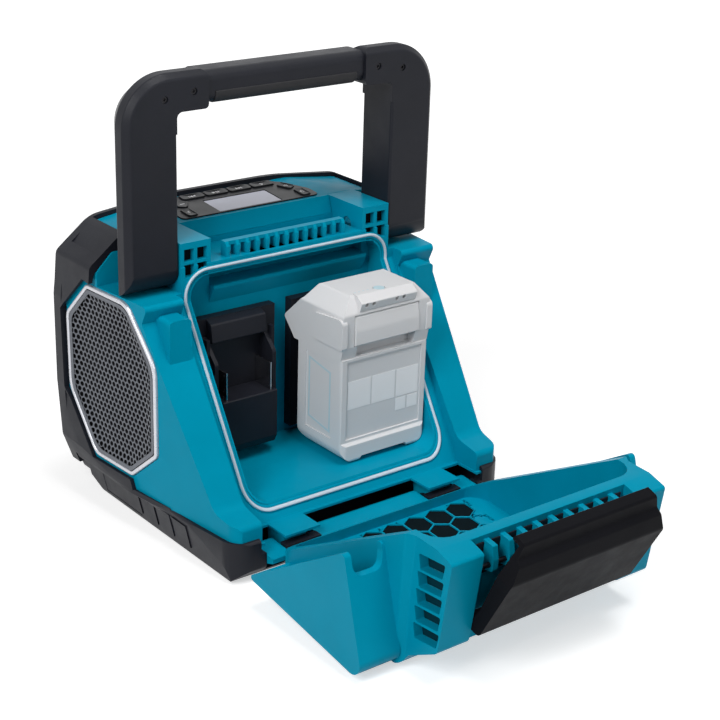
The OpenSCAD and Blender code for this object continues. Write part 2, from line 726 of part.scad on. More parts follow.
module base_bumper() {
    color(black) difference() {
        union() {
            base_form(0);
            // Grip pads along the sides
            intersection() {
                base_form(-0.8);
                both_sides() for (i = [0:3]) box([90, -42 + i * 20, 7], [far, -25 + i * 20, base_top - 5]);
            }
        }
        housing_form(-seat_gap);
        intersection() {
            both_sides() along_x(strip_in - 1, far) shape(inset(strip_side, -seat_gap));
            along_z(-far, far) shape(inset(housing_plan, -seat_gap));
        }
        // Hollow under the housing, and the low rear rim behind the door
        along_z(base_floor, far) shape([[-half_at(-86) + 9, hinge_y - 7.3, 8], [half_at(-86) - 9, hinge_y - 7.3, 8],
            [half_at(68) - 9, 68], [-half_at(68) + 9, 68]]);
        box([-strip_in - 3, -far, hinge_z + 7], [strip_in + 3, -80, far]);
        both_sides() box([arm_x[0] - slide_gap, -far, 5.5], [arm_x[1] + slide_gap, -80, far]);
        box([-mid_arm - slide_gap, -far, 5.5], [mid_arm + slide_gap, -80, far]);
        for (p = foot_places) translate([p[0], p[1], -1]) cylinder(r = 9 + seat_gap, h = 3);
    }
}

module rubber_feet() {
    color(rubber) for (p = foot_places) translate([p[0], p[1], 0]) cylinder(r = 9, h = 2);
}

panel_rear = boss_front + seat_gap;
panel_half = 103;
panel_front = bumper_front - 4;
bezel_outline = [[-57, 53.8, 4], [57, 53.8, 4], [57, 66, 10], [47, 84, 10], [38, 92, 6], [-38, 92, 6],
    [-47, 84, 10], [-57, 66, 10]];
lens_y = [55.5, 77.5];
bezel_z = panel_z - 2.5;
membrane_z = bezel_z - 1.2;
key_z = bezel_z + key_travel + 0.1;
key_pitch = key_w + 1.5;
key_places = [[-1.5 * key_pitch, 86.3], [-0.5 * key_pitch, 86.3], [0.5 * key_pitch, 86.3], [-47.5, 61.5],
    [-43.5, 76.5], [47.5, 61.5], [1.5 * key_pitch, 86.3], [43.5, 76.5]];
key_turns = [0, 0, 0, 90, 58, -90, 0, -58];
key_widths = [key_w, key_w, key_w, key_w - 6, key_w - 7, key_w - 6, key_w, key_w - 7];

// Height of the panel at a depth y, and the tilt that the controls share with it
function panel_at(y) = panel_z + (y - panel_rear) * tan(panel_tilt);
module tilted() {
    translate([0, panel_rear, panel_z]) rotate([panel_tilt, 0, 0]) translate([0, -panel_rear, -panel_z]) children();
}

module top_panel() {
    color(teal) difference() {
        union() {
            intersection() {
                along_x(-far, far) polygon([[panel_rear, deck_z], [panel_front, deck_z],
                    [panel_front, panel_at(panel_front)], [panel_rear, panel_z]]);
                along_y(-far, far) shape([[-panel_half, deck_z], [panel_half, deck_z], [panel_half - 1.5, panel_z - 2.5, 3],
                    [45, panel_z + 5.2, 250], [-45, panel_z + 5.2, 250], [-panel_half + 1.5, panel_z - 2.5, 3]]);
            }
            // Tongue that reaches between the bosses to the shelf
            along_x(-boss_in + seat_gap, boss_in - seat_gap)
                polygon([[deck_step_y + 0.5, deck_z], [panel_rear + 1, deck_z],
                    [panel_rear + 1, panel_z], [deck_step_y + 5, panel_z]]);
        }
        tilted() along_z(membrane_z, far) shape(inset(bezel_outline, -seat_gap));
        tilted() box([-lens_half - 3.5, lens_y[0] - 1, bezel_z - 8], [lens_half + 3.5, lens_y[1] + 1, far]);
    }
}

module keypad_bezel() {
    color(black) tilted() difference() {
        along_z(bezel_z, panel_z + 0.8) shape(bezel_outline);
        box([-lens_half - seat_gap, lens_y[0] - seat_gap, 0], [lens_half + seat_gap, lens_y[1] + seat_gap, far]);
        for (i = [0:len(key_places) - 1]) key_hole(i, slide_gap);
    }
}

module key_outline(i, grow) {
    w = key_widths[i] / 2 + grow;
    d = key_d / 2 + grow;
    rotate(key_turns[i]) shape(frame_rect([-w, -d], [w, d], 2));
}

module key_hole(i, grow) {
    translate([key_places[i][0], key_places[i][1], 0]) along_z(0, far) key_outline(i, grow);
}

module keypad_membrane() {
    color(rubber) tilted() difference() {
        along_z(membrane_z, membrane_z + 1.2) shape(inset(bezel_outline, 0.5));
        box([-lens_half - 3.5, 0, 0], [lens_half + 3.5, lens_y[1] + 1, far]);
    }
}

module display_lens() {
    color(silver) tilted() along_z(bezel_z - 0.6, panel_z + 0.4)
        shape(frame_rect([-lens_half, lens_y[0]], [lens_half, lens_y[1]], 1.5));
}

module display_module() {
    color(black) tilted() box([-lens_half - 3, lens_y[0] - 0.5, bezel_z - 8], [lens_half + 3, lens_y[1] + 0.5, bezel_z - 0.6]);
}

// One key: a cap with a shallow dish
module key_cap(i) {
    color(black) tilted() translate([key_places[i][0], key_places[i][1], 0]) difference() {
        along_z(key_z, panel_z + 2) key_outline(i, 0);
        rotate(key_turns[i]) translate([0, 0, panel_z + 2 + 38.6]) rotate([90, 0, 0])
            cylinder(r = 39.2, h = key_d - 1.6, center = true);
    }
}

module key_previous() { key_cap(0); }
module key_play() { key_cap(1); }
module key_next() { key_cap(2); }
module key_volume_up() { key_cap(3); }
module key_volume_down() { key_cap(4); }
module key_power() { key_cap(5); }
module key_pairing() { key_cap(6); }
module key_tone() { key_cap(7); }

// Cross-section of a leg on the right side: thick inside, thin at the outer edge
leg_section = [[leg_in, leg_rear, 2], [leg_out - 4, leg_rear, 3], [leg_out, leg_rear + 4, 2],
    [leg_out, leg_rear + 12, 3], [leg_out - 12, leg_front, 4], [leg_in + 2, leg_front, 2],
    [leg_in, leg_front - 2, 1]];

module handle_leg() {
    difference() {
        intersection() {
            along_z(pivot_z - leg_d, leg_joint) shape(leg_section);
            union() {
                rod_x(0, far, pivot_y, pivot_z, leg_d / 2);
                box([0, leg_rear, pivot_z], [far, leg_front, far]);
            }
        }
        rod_x(0, leg_out - 9, pivot_y, pivot_z, pivot_r);
    }
}

module handle_leg_left() { color(black) mirror([1, 0, 0]) handle_leg(); }
module handle_leg_right() { color(black) handle_leg(); }

module handle_pivot_pins() {
    color(steel) both_sides() rod_x(boss_in + 1, leg_out - 9, pivot_y, pivot_z, pivot_r);
}

grip_half = 63;
screw_places = [[grip_half + 11, handle_top - 13], [leg_in + 8.7, handle_top - 16]];
pad_half = grip_half - 6;
grip_section = [[leg_rear + 2, bar_under + 2, 7], [leg_front - 3, bar_under + 2, 9],
    [leg_front - 3, handle_top - 2, 9], [leg_rear + 2, handle_top - 2, 7]];

// Outer edge of the handle, as distance in from its outline and depth
elbow_edge = [[0, leg_rear + 4, 2], [0, leg_rear + 12, 3], [12, leg_front, 4], [elbow_r, leg_front],
    [elbow_r, leg_rear], [4, leg_rear, 3]];

// Corner of the handle on the right side: that edge carried up the leg, round the bend and along the bar
module elbow_form() {
    bend_x = leg_out - elbow_r;
    bend_z = handle_top - elbow_r;
    along_z(leg_joint, bend_z) shape([for (p = elbow_edge) [leg_out - p[0], p[1], p[2]]]);
    along_x(grip_half, bend_x) shape([for (p = elbow_edge) [p[1], handle_top - p[0], p[2]]]);
    box([grip_half, leg_rear, leg_joint], [bend_x, leg_front, bend_z]);
    intersection() {
        translate([bend_x, 0, bend_z]) rotate([90, 0, 0]) rotate_extrude()
            shape([for (p = elbow_edge) [elbow_r - p[0], -p[1], p[2]]]);
        box([bend_x, 0, bend_z], [far, far, far]);
    }
}

module handle_crossbar() {
    color(black) difference() {
        union() {
            both_sides() intersection() {
                along_y(leg_rear, leg_front) shape([[leg_in, leg_joint], [leg_out, leg_joint],
                    [leg_out, handle_top], [grip_half, handle_top, 5], [grip_half, bar_under, 3], [leg_in, bar_under, 4]]);
                elbow_form();
            }
            along_x(-grip_half - 1, grip_half + 1) shape(grip_section);
        }
        // Seat of the pad under the grip and screw holes
        box([-pad_half, 0, 0], [pad_half, far, bar_under + 10]);
        both_sides() for (p = screw_places) translate([p[0], leg_rear + 3, p[1]]) rotate([90, 0, 0]) cylinder(r = 2.4, h = 10);
    }
}

module handle_grip_pad() {
    color(rubber) intersection() {
        along_x(-pad_half + seat_gap, pad_half - seat_gap) shape(inset(grip_section, -0.6));
        box([-far, 0, 0], [far, far, bar_under + 10]);
    }
}

module handle_screws() {
    color(steel) both_sides() for (p = screw_places) translate([p[0], leg_rear + 3, p[1]]) rotate([90, 0, 0]) difference() {
        cylinder(r = 2.4 - run_fit, h = 2);
        translate([0, 0, 1]) cylinder(r = 1.1, h = 2, $fn = 6);
    }
}

module door_hinge_pin() { color(steel) rod_x(-94, 94, hinge_y, hinge_z, hinge_r); }

// Depth of the door's sealing rim at a height z
function rim_at(z) = seal_at(z) - door_gap;

door_rear_low = -77;
door_rear_high = -80;
floor_y = door_rear_low - 0.5 + door_wall + 0.5;
cheek_tip = [-68.5, 46];
cheek_back = [-80, 162.5];
cheek_nose = [-7.5, 138];
tray_side = [[door_rear_low, door_under, 3], [rim_at(door_under), door_under], [seal_y - door_gap, seal_knee],
    [seal_y - door_gap, tray_top - 2], [4, 193, 2], [-57, 187.5, 5], [-71.5, 163.5, 4],
    [door_rear_high, 158, 6]];

// Strip line that the cheek's edge follows, moved off by a gap
function strip_at(z) = strip_knee[0] - strip_slope * (strip_knee[1] - z) - 1.2;

module door_tray() {
    difference() {
        union() {
            intersection() {
                along_x(-tray_half, tray_half) shape(tray_side);
                along_y(-far, far) shape([[-tray_half, door_under, 20], [tray_half, door_under, 20],
                    [tray_half, 156, 4], [block_w, 161, 4], [block_w, 240], [-block_w, 240],
                    [-block_w, 161, 4], [-tray_half, 156, 4]]);
            }
            // Hinge arms
            door_arm(-mid_arm, mid_arm);
            both_sides() door_arm(arm_x[0], arm_x[1]);
        }
        // Inside of the tray
        intersection() {
            along_x(-far, far) shape(inset([[door_rear_low, door_under], [60, door_under], [60, tray_top],
                [-45, tray_top], [door_rear_high, 160]], door_wall + 0.5));
            along_y(-far, far)
                shape(frame_rect([-tray_in, bay_floor - 1], [tray_in, bay_top + 1], bay_r + 1));
        }
        // Headroom for a pack that is lifted off its rails
        box([-slot_x - 31, pack_face - 3, bay_top - 4], [slot_x + 31, -5, pack_z + pack_h + pack_lift + 1.2]);
        // Ladder pockets in the upper sides
        both_sides() for (i = [0:4])
            along_x(block_w - 12, far) shape([[-57 + i * 11.4, 167.5, 1], [-47.4 + i * 11.4, 165, 1],
                [-44.4 + i * 11.4, 187.6, 1], [-54 + i * 11.4, 186.2, 1]]);
        // Honeycomb cut into the floor of the tray
        along_y(floor_y - 1.8, floor_y + 6) intersection() {
            translate([-68, 37]) square([136, 32]);
            honeycomb(8.6, 1.4);
        }
        // Recess of the latch between the two pillars
        along_x(-latch_half, latch_half) polygon([[-90, 181], [-60, 179.5], [20, 181], [20, 220], [-90, 220]]);
        rod_x(-far, far, hinge_y, hinge_z, hinge_r + run_fit);
        rod_x(-latch_half - 7, latch_half + 7, lever_y, lever_z - 5, lever_pin_r);
    }
}

module door_arm(x0, x1) {
    rod_x(x0, x1, hinge_y, hinge_z, 6.2);
    along_x(x0, x1) polygon([[hinge_y - 6.2, hinge_z], [hinge_y + 6.2, hinge_z], [arm_front, hinge_z + 9],
        [arm_front, door_under + 1], [-76.5, door_under + 1]]);
}

// One side cheek: outer panel, rear wall and a top wall notched for the post
module door_cheek() {
    profile = [[cheek_tip[0], cheek_tip[1], 2], [strip_at(cheek_nose[1]), cheek_nose[1], 3], [cheek_back[0], cheek_back[1], 8]];
    difference() {
        along_x(tray_half - 1, cheek_out) shape(profile);
        // Hollow behind the panel
        along_x(tray_half, cheek_out - 2.6) shape(inset([[cheek_tip[0], cheek_tip[1]],
            [60, cheek_tip[1]], [60, 113], [cheek_back[0], cheek_back[1]]], door_wall));
        // Notch for the post, rounded at its foot and drawn in toward the tray
        along_z(100, 180) shape([[post_x[0] + 0.8, -21, 6], [post_x[1] + 4, -21, 7], [post_x[1] + 4, far],
            [tray_half + 1, far], [post_x[0] - 1.9, -12, 4]]);
    }
}

// Place of each finger along the latch
function finger_at(i) = (i - (finger_count - 1) / 2) * finger_pitch;

// Fingers that carry the latch rod
module latch_fingers() {
    for (i = [0:finger_count - 1])
        along_x(finger_at(i) - 1.9, finger_at(i) + 1.9) difference() {
            shape([[-15, 179.5], [4.5, 180], [3.5, 188.6, 1], [-5, 190.5, 3], [-12.5, 190.5, 2]]);
            translate([rod_y, rod_z]) circle(r = rod_r);
        }
}

// Outlines of touching hexagons of radius r, as lines of width w
module honeycomb(r, w) {
    for (j = [0:2], i = [-5:5]) translate([(i + (j % 2) / 2) * r * 1.732, 40 + j * r * 1.5]) difference() {
        circle(r = r + w / 2, $fn = 6);
        circle(r = r - w / 2, $fn = 6);
    }
}

module door_shell() {
    color(teal) opened() {
        door_tray();
        both_sides() door_cheek();
        latch_fingers();
    }
}

module latch_rod() { color(steel) opened() rod_x(-60, 60, rod_y, rod_z, rod_r); }

module latch_pivot_pin() {
    color(steel) opened() rod_x(-latch_half - 7, latch_half + 7, lever_y, lever_z - 5, lever_pin_r);
}

// Dark strip on the floor of the latch recess, cut out for the fingers
module latch_backing() {
    color(black) opened() difference() {
        along_x(-latch_half + 3, latch_half - 3) polygon([[-18, backing_at(-18)], [3, backing_at(3)],
            [3, backing_at(3) + 1], [-18, backing_at(-18) + 1]]);
        for (i = [0:finger_count - 1])
            box([finger_at(i) - 1.9 - seat_gap, -15.3, 0], [finger_at(i) + 1.9 + seat_gap, far, far]);
    }
}

// Height of the recess's floor at a depth y
function backing_at(y) = 179.53 + (y + 60) * 1.5 / 80;

// Lever with a rounded face, bevelled ends and a lip that drops behind the comb on the housing
module latch_lever() {
    half = latch_half - slide_gap;
    plate = [[lever_y - 5, 186, 2], [lever_y + 11, 189.8], [4, 191.4], [lip_y, 191.4], [lip_y, 185.6],
        [lip_y + 2.8, 185.6, 1], [lip_y + 2.8, 194, 2], [14.5, 195.5, 2], [12.5, 199.5, 3], [2, 203, 6],
        [lever_y - 4, 196.5, 4]];
    color(black) opened() lifted(lever_y, lever_z - 5, lever_lift) difference() {
        union() {
            intersection() {
                along_x(-half, half) shape(plate);
                along_z(0, far) shape([[-half, lever_y - 10], [half, lever_y - 10], [half, 0, 4],
                    [half - 9, lip_y + 4], [-half + 9, lip_y + 4], [-half, 0, 4]]);
            }
            rod_x(-half, half, lever_y, lever_z - 5, 3.6);
        }
        rod_x(-far, far, lever_y, lever_z - 5, lever_pin_r + run_fit);
    }
}

rear_housing();
front_baffle();
baffle_screws();
top_panel();
keypad_bezel();
keypad_membrane();
display_lens();
display_module();
key_previous();
key_play();
key_next();
key_volume_up();
key_volume_down();
key_power();
key_pairing();
key_tone();
front_bumper();
base_bumper();
rubber_feet();
front_grille();
front_grille_trim();
woofer_basket();
woofer_cone();
woofer_surround();
woofer_magnet();
side_grille_left();
side_grille_right();
side_trim_left();
side_trim_right();
side_driver_left();
side_driver_right();
side_cone_left();
side_cone_right();
compartment_gasket();
terminal_block_left();
terminal_block_right();
terminal_blades();
main_board();
handle_pivot_pins();
handle_leg_left();
handle_leg_right();
handle_crossbar();
handle_grip_pad();
handle_screws();
door_hinge_pin();
door_shell();
latch_rod();
latch_pivot_pin();
latch_backing();
latch_lever();
battery_case();
battery_cover();
battery_gauge_button();
battery_release_button();
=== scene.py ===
"""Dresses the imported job-site speaker: rounded mouldings, fine grilles and procedural materials."""
import json
import math

import bmesh
import bpy
from mathutils import Matrix, Vector
from mathutils.bvhtree import BVHTree


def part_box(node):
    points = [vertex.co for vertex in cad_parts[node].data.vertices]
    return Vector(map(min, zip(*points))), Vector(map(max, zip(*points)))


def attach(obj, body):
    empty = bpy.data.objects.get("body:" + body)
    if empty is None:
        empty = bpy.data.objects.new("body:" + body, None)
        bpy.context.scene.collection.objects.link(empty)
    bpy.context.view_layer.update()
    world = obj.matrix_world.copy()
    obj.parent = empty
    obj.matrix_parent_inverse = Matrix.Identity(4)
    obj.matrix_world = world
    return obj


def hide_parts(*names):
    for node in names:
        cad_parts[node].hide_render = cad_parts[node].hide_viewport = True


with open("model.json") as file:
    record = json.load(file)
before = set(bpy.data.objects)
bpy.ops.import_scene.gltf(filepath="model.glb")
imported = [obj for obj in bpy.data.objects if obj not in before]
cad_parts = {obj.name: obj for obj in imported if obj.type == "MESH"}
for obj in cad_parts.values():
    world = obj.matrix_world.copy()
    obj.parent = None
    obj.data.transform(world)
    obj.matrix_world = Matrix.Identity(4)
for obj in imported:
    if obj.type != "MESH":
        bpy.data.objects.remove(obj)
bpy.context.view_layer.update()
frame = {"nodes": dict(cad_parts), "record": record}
nodes = frame["nodes"]
body_of_node = {n: b for b, ns in frame["record"]["behaviour"]["bodies"].items() for n in ns}
MM = 0.001


# Materials

def new_material(name):
    mat = bpy.data.materials.new(name)
    mat.use_nodes = True
    tree = mat.node_tree
    shader = tree.nodes["Principled BSDF"]
    coord = tree.nodes.new("ShaderNodeTexCoord")
    return mat, tree, shader, coord


def noise(tree, coord, scale, detail=3.0, rough=0.55):
    tex = tree.nodes.new("ShaderNodeTexNoise")
    tex.inputs["Scale"].default_value = scale
    tex.inputs["Detail"].default_value = detail
    tex.inputs["Roughness"].default_value = rough
    tree.links.new(coord.outputs["Object"], tex.inputs["Vector"])
    return tex


def ramp(tree, source, stops):
    node = tree.nodes.new("ShaderNodeValToRGB")
    elements = node.color_ramp.elements
    elements[0].position, elements[0].color = stops[0][0], (*stops[0][1], 1)
    elements[1].position, elements[1].color = stops[-1][0], (*stops[-1][1], 1)
    for place, colour in stops[1:-1]:
        elements.new(place).color = (*colour, 1)
    tree.links.new(source, node.inputs["Fac"])
    return node


def grey(v):
    return (v, v, v)


CLOUD_SCALE, SMEAR_SCALE = 22.0, 70.0
BUMP_REACH = 0.0002


def moulded(name, base, rough=0.42, grain=1800.0, depth=0.05, vary=0.08, coat=0.0, metal=0.0, shine=0.3,
            gleam=(1, 1, 1)):
    """Moulded or painted surface: faint cloudiness, uneven gloss and a fine moulded grain."""
    mat, tree, shader, coord = new_material(name)
    cloud = noise(tree, coord, CLOUD_SCALE, 4.0)
    low = tuple(c * (1 - vary) for c in base)
    high = tuple(min(1.0, c * (1 + vary)) for c in base)
    tint = ramp(tree, cloud.outputs["Fac"], [(0.3, low), (0.7, high)])
    tree.links.new(tint.outputs["Color"], shader.inputs["Base Color"])
    smear = noise(tree, coord, SMEAR_SCALE, 5.0, 0.65)
    sheen, matt = grey(max(0.03, rough - 0.06)), grey(rough + 0.07)
    gloss = ramp(tree, smear.outputs["Fac"], [(0.3, sheen), (0.75, matt)])
    tree.links.new(gloss.outputs["Color"], shader.inputs["Roughness"])
    fine = noise(tree, coord, grain, 2.0)
    bump = tree.nodes.new("ShaderNodeBump")
    bump.inputs["Strength"].default_value = depth
    bump.inputs["Distance"].default_value = BUMP_REACH
    tree.links.new(fine.outputs["Fac"], bump.inputs["Height"])
    tree.links.new(bump.outputs["Normal"], shader.inputs["Normal"])
    shader.inputs["Metallic"].default_value = metal
    shader.inputs["Specular IOR Level"].default_value = shine
    shader.inputs["Specular Tint"].default_value = (*gleam, 1)
    shader.inputs["Coat Weight"].default_value = coat
    shader.inputs["Coat Roughness"].default_value = 0.25
    return mat


TEAL = moulded("teal_moulded", (0.0, 0.262, 0.40), 0.36, 1500.0, 0.04, 0.05, shine=0.07,
               gleam=(0.05, 0.7, 1.0))
BLACK = moulded("black_grained", (0.010, 0.011, 0.016), 0.44, 1300.0, 0.16, 0.12, shine=0.18)
LEVER = moulded("lever_black", (0.006, 0.0062, 0.008), 0.46, 1600.0, 0.10, 0.12, shine=0.03)
KEYS = moulded("key_rubber", (0.011, 0.012, 0.015), 0.36, 2200.0, 0.06, 0.15)
RUBBER = moulded("soft_rubber", (0.014, 0.014, 0.016), 0.62, 1700.0, 0.2, 0.2)
SEAL = moulded("seal_rubber", (0.50, 0.60, 0.68), 0.44, 1900.0, 0.08, 0.05)
SILVER = moulded("silver_paint", (0.62, 0.63, 0.67), 0.30, 2400.0, 0.03, 0.04, metal=0.55)
MESH = moulded("grille_paint", (0.13, 0.14, 0.16), 0.38, 2500.0, 0.04, 0.08, metal=0.5)
STEEL = moulded("turned_steel", (0.55, 0.55, 0.56), 0.22, 900.0, 0.05, 0.12, metal=1.0)
CONE = moulded("cone_paper", (0.012, 0.012, 0.013), 0.7, 900.0, 0.3, 0.3)
PACK = moulded("pack_grey", (0.68, 0.68, 0.69), 0.50, 1500.0, 0.06, 0.02, shine=0.25)
PACK_LIGHT = moulded("pack_label", (0.88, 0.88, 0.89), 0.45, 2400.0, 0.02, 0.02)
PACK_TINT = moulded("pack_tint", (0.50, 0.66, 0.72), 0.45, 2400.0, 0.02, 0.02)
PACK_HOLE_SHADE = moulded("pack_hole_shade", (0.25, 0.25, 0.26), 0.5, 1500.0, 0.06, 0.05)
LENS = moulded("display_lens", (0.48, 0.50, 0.62), 0.14, 3000.0, 0.0, 0.03, coat=0.6)
BOARD = moulded("solder_mask", (0.02, 0.11, 0.06), 0.3, 2000.0, 0.05, 0.2)
PRINT = moulded("white_print", (0.8, 0.81, 0.82), 0.5, 2500.0, 0.02, 0.02)
SCREW = moulded("black_oxide", (0.02, 0.02, 0.023), 0.32, 1500.0, 0.05, 0.15, metal=0.7)
BACKING = moulded("speaker_cloth", (0.006, 0.006, 0.007), 0.9, 1200.0, 0.5, 0.3, shine=0.1)
# Painted shade: dark teal for the shade inside the ladder pockets of the door
SHADE = moulded("shaded_teal", (0.0, 0.03, 0.043), 0.6, 1500.0, 0.1, 0.1, shine=0.1)
# Painted shade: near-black for the shade inside the boss pockets and the honeycomb cells of the door
RECESS_SHADE = moulded("painted_recess_shade", (0.002, 0.006, 0.008), 0.8, 1200.0, 0.2, 0.2, shine=0.05)


# Mouldings with rounded edges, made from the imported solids

WELD_REACH, SLIVER = 2e-6, 1e-6
FLAT_ANGLE, EDGE_ANGLE = 1.0, 24.0
WIDE_EDGE = 0.9


def solid_copy(node):
    """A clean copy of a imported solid's mesh: welded, and with flat areas merged back to single faces."""
    bm = bmesh.new()
    bm.from_mesh(nodes[node].data)
    bmesh.ops.remove_doubles(bm, verts=bm.verts, dist=WELD_REACH)
    bmesh.ops.dissolve_degenerate(bm, edges=bm.edges, dist=SLIVER)
    bmesh.ops.dissolve_limit(bm, angle_limit=math.radians(FLAT_ANGLE), verts=bm.verts, edges=bm.edges)
    mesh = bpy.data.meshes.new(node + "_moulding")
    bm.to_mesh(mesh)
    bm.free()
    obj = bpy.data.objects.new(node + "_moulding", mesh)
    bpy.context.collection.objects.link(obj)
    return obj


def set_smooth(obj):
    obj.data.polygons.foreach_set("use_smooth", [True] * len(obj.data.polygons))


def add_bevel(obj, width, segments, angle=EDGE_ANGLE):
    bevel = obj.modifiers.new("edges", "BEVEL")
    bevel.width = width * MM
    bevel.segments = segments
    bevel.limit_method = "ANGLE"
    bevel.angle_limit = math.radians(angle)
    bevel.miter_outer = "MITER_ARC"
    bevel.use_clamp_overlap = True
    bevel.harden_normals = False
    weighted = obj.modifiers.new("normals", "WEIGHTED_NORMAL")
    weighted.keep_sharp = False
    weighted.weight = 80


def dress(node, mat, width):
    """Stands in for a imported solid: the same form with its edges rounded off."""
    obj = solid_copy(node)
    obj.data.materials.clear()
    obj.data.materials.append(mat)
    set_smooth(obj)
    add_bevel(obj, width, 3 if width >= WIDE_EDGE else 2)
    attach(obj, body_of_node[node])
    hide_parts(node)


def paint(node, mat):
    data = nodes[node].data
    data.materials.clear()
    data.materials.append(mat)


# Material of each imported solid, and the width in mm of its rounded edges
LOOKS = {
    "rear_housing": (TEAL, 1.0), "top_panel": (TEAL, 1.2), "door_shell": (TEAL, 0.9),
    "front_bumper": (BLACK, 1.2), "base_bumper": (BLACK, 1.2), "handle_leg_left": (BLACK, 1.4),
    "handle_leg_right": (BLACK, 1.4), "handle_crossbar": (BLACK, 1.4), "handle_grip_pad": (RUBBER, 0.6),
    "latch_lever": (LEVER, 1.2), "latch_backing": (BLACK, 0.15), "keypad_bezel": (KEYS, 0.25),
    "terminal_block_left": (BLACK, 0.5), "terminal_block_right": (BLACK, 0.5),
    "battery_case": (PACK, 0.8), "battery_cover": (PACK, 0.8), "battery_release_button": (PACK, 0.5),
    "battery_gauge_button": (PACK_TINT, 0.25),
    "front_grille_trim": (SILVER, 0.8), "display_lens": (LENS, 0.3), "handle_screws": (SCREW, 0.15),
    "latch_rod": (SCREW, 0.0), "door_hinge_pin": (SCREW, 0.3), "latch_pivot_pin": (SCREW, 0.2),
    "handle_pivot_pins": (STEEL, 0.4), "terminal_blades": (STEEL, 0.15), "rubber_feet": (RUBBER, 0.5),
    "front_baffle": (BLACK, 0.5), "baffle_screws": (STEEL, 0.3), "keypad_membrane": (RUBBER, 0.0),
    "display_module": (BLACK, 0.0), "woofer_basket": (BLACK, 0.3), "woofer_cone": (CONE, 0.0),
    "woofer_surround": (RUBBER, 0.0), "woofer_magnet": (STEEL, 0.6), "side_driver_left": (BLACK, 0.3),
    "side_driver_right": (BLACK, 0.3), "side_cone_left": (CONE, 0.0), "side_cone_right": (CONE, 0.0),
    "main_board": (BOARD, 0.0),
}
KEY_NODES = [n for n in nodes if n.startswith("key_")]
for key in KEY_NODES:
    LOOKS[key] = (KEYS, 0.45)

for node, (mat, width) in LOOKS.items():
    if width > 0:
        dress(node, mat, width)
    else:
        paint(node, mat)


# Outlines, with a corner radius as third value, as in the part's source

def inset(outline, e):
    moved = []
    n = len(outline)
    for i, point in enumerate(outline):
        a, b, c = (Vector(outline[k][:2]) for k in (i - 1, i, (i + 1) % n))
        d, f = (b - a).normalized(), (c - b).normalized()
        m, k = Vector((-d.y, d.x)), Vector((-f.y, f.x))
        q = b + e * (m + k) / (1 + m.dot(k))
        moved.append((q.x, q.y, point[2] if len(point) > 2 else 0))
    return moved


def rounded(outline, steps=6):
    points = []
    n = len(outline)
    for i, point in enumerate(outline):
        a, b, c = (Vector(outline[k][:2]) for k in (i - 1, i, (i + 1) % n))
        r = point[2] if len(point) > 2 else 0
        if r <= 0:
            points.append(b)
            continue
        u, v = (a - b).normalized(), (c - b).normalized()
        half = math.acos(max(-1, min(1, u.dot(v)))) / 2
        middle = b + (u + v).normalized() * r / math.sin(half)
        s, t = b + u * r / math.tan(half), b + v * r / math.tan(half)
        a0 = math.atan2(s.y - middle.y, s.x - middle.x)
        turn = math.atan2(t.y - middle.y, t.x - middle.x) - a0
        turn = turn - 2 * math.pi if turn > math.pi else turn + 2 * math.pi if turn < -math.pi else turn
        for j in range(steps + 1):
            w = a0 + turn * j / steps
            points.append(middle + r * Vector((math.cos(w), math.sin(w))))
    return points


def edge_distance(p, loop):
    """Distance from p to the nearest edge, negative outside the loop."""
    best, inside = 1e9, False
    n = len(loop)
    for i in range(n):
        a, b = loop[i], loop[(i + 1) % n]
        ab = b - a
        t = max(0.0, min(1.0, (p - a).dot(ab) / max(ab.length_squared, 1e-12)))
        best = min(best, (p - a - ab * t).length)
        if (a.y > p.y) != (b.y > p.y) and p.x < (b.x - a.x) * (p.y - a.y) / (b.y - a.y) + a.x:
            inside = not inside
    return best if inside else -best


def finish_piece(bm, name, mat, body):
    bmesh.ops.recalc_face_normals(bm, faces=bm.faces)
    mesh = bpy.data.meshes.new(name)
    bm.to_mesh(mesh)
    bm.free()
    obj = bpy.data.objects.new(name, mesh)
    bpy.context.collection.objects.link(obj)
    mesh.materials.append(mat)
    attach(obj, body)
    return obj


def plates(name, loops, push, mat, body):
    """Thin flat plates: each loop of points closed off by a second face, moved by push."""
    bm = bmesh.new()
    for loop in loops:
        low = [bm.verts.new(p) for p in loop]
        high = [bm.verts.new(p + push) for p in loop]
        bm.faces.new(low)
        bm.faces.new(high)
        for i in range(len(low)):
            k = (i + 1) % len(low)
            bm.faces.new((low[i], low[k], high[k], high[i]))
    return finish_piece(bm, name, mat, body)


def swept_ring(name, node, section, mats):
    """A ring drawn from loops of points, one loop for each step of its section."""
    bm = bmesh.new()
    rings = [[bm.verts.new(p) for p in loop] for loop, _ in section]
    for j in range(len(rings) - 1):
        for i in range(len(rings[j])):
            k = (i + 1) % len(rings[j])
            face = bm.faces.new((rings[j][i], rings[j][k], rings[j + 1][k], rings[j + 1][i]))
            face.material_index = section[j][1]
            face.smooth = True
    obj = finish_piece(bm, name, mats[0], body_of_node[node])
    for mat in mats[1:]:
        obj.data.materials.append(mat)
    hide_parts(node)
    return obj


# Grilles: a fine pressed sheet, dished behind its ring, over a dark cloth

DISH_RUN = 12.0
ROW_STEP = 0.866
HOLE_SIDES = 12
RIM_W, RIM_LAP = 2.6, 0.1
SHEET_THICK, HEM_THICK = 0.5, 0.15
CLOTH_IN, HEM_IN = 0.3, 0.5
CLOTH_FRONT, CLOTH_BACK = -0.45, -0.55


